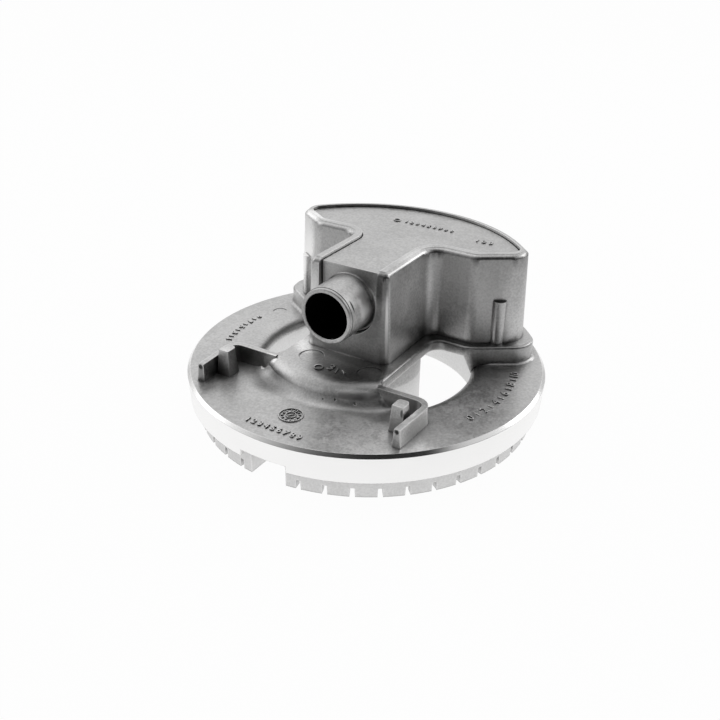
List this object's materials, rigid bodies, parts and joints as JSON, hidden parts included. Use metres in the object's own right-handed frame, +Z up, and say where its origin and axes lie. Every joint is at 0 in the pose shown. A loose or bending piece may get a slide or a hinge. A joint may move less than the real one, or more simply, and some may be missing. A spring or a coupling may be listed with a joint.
{
  "type": "triple crown burner base",
  "caption": "Cast burner base, stood on its crown, with a slotted outer crown, a fan-shaped mixing chamber under a flat cover, a gas inlet tube and two brackets.",
  "frame": {"origin": "on the disc's axis, in the plane of the crown's tips, on which the part stands upside down", "axes": "+Z up along the disc's axis from the crown's tips to the chamber's rim, -Y out of the mouth of the inlet tube, X across the mirror plane"},
  "size_m": [0.13, 0.13, 0.0583],
  "materials": {
    "cast_body": "as cast, turned rim",
    "cast_cover": "as cast"
  },
  "bodies": {
    "root": {"burner_body": "cast_body", "chamber_cover": "cast_cover"}
  },
  "joints": []
}
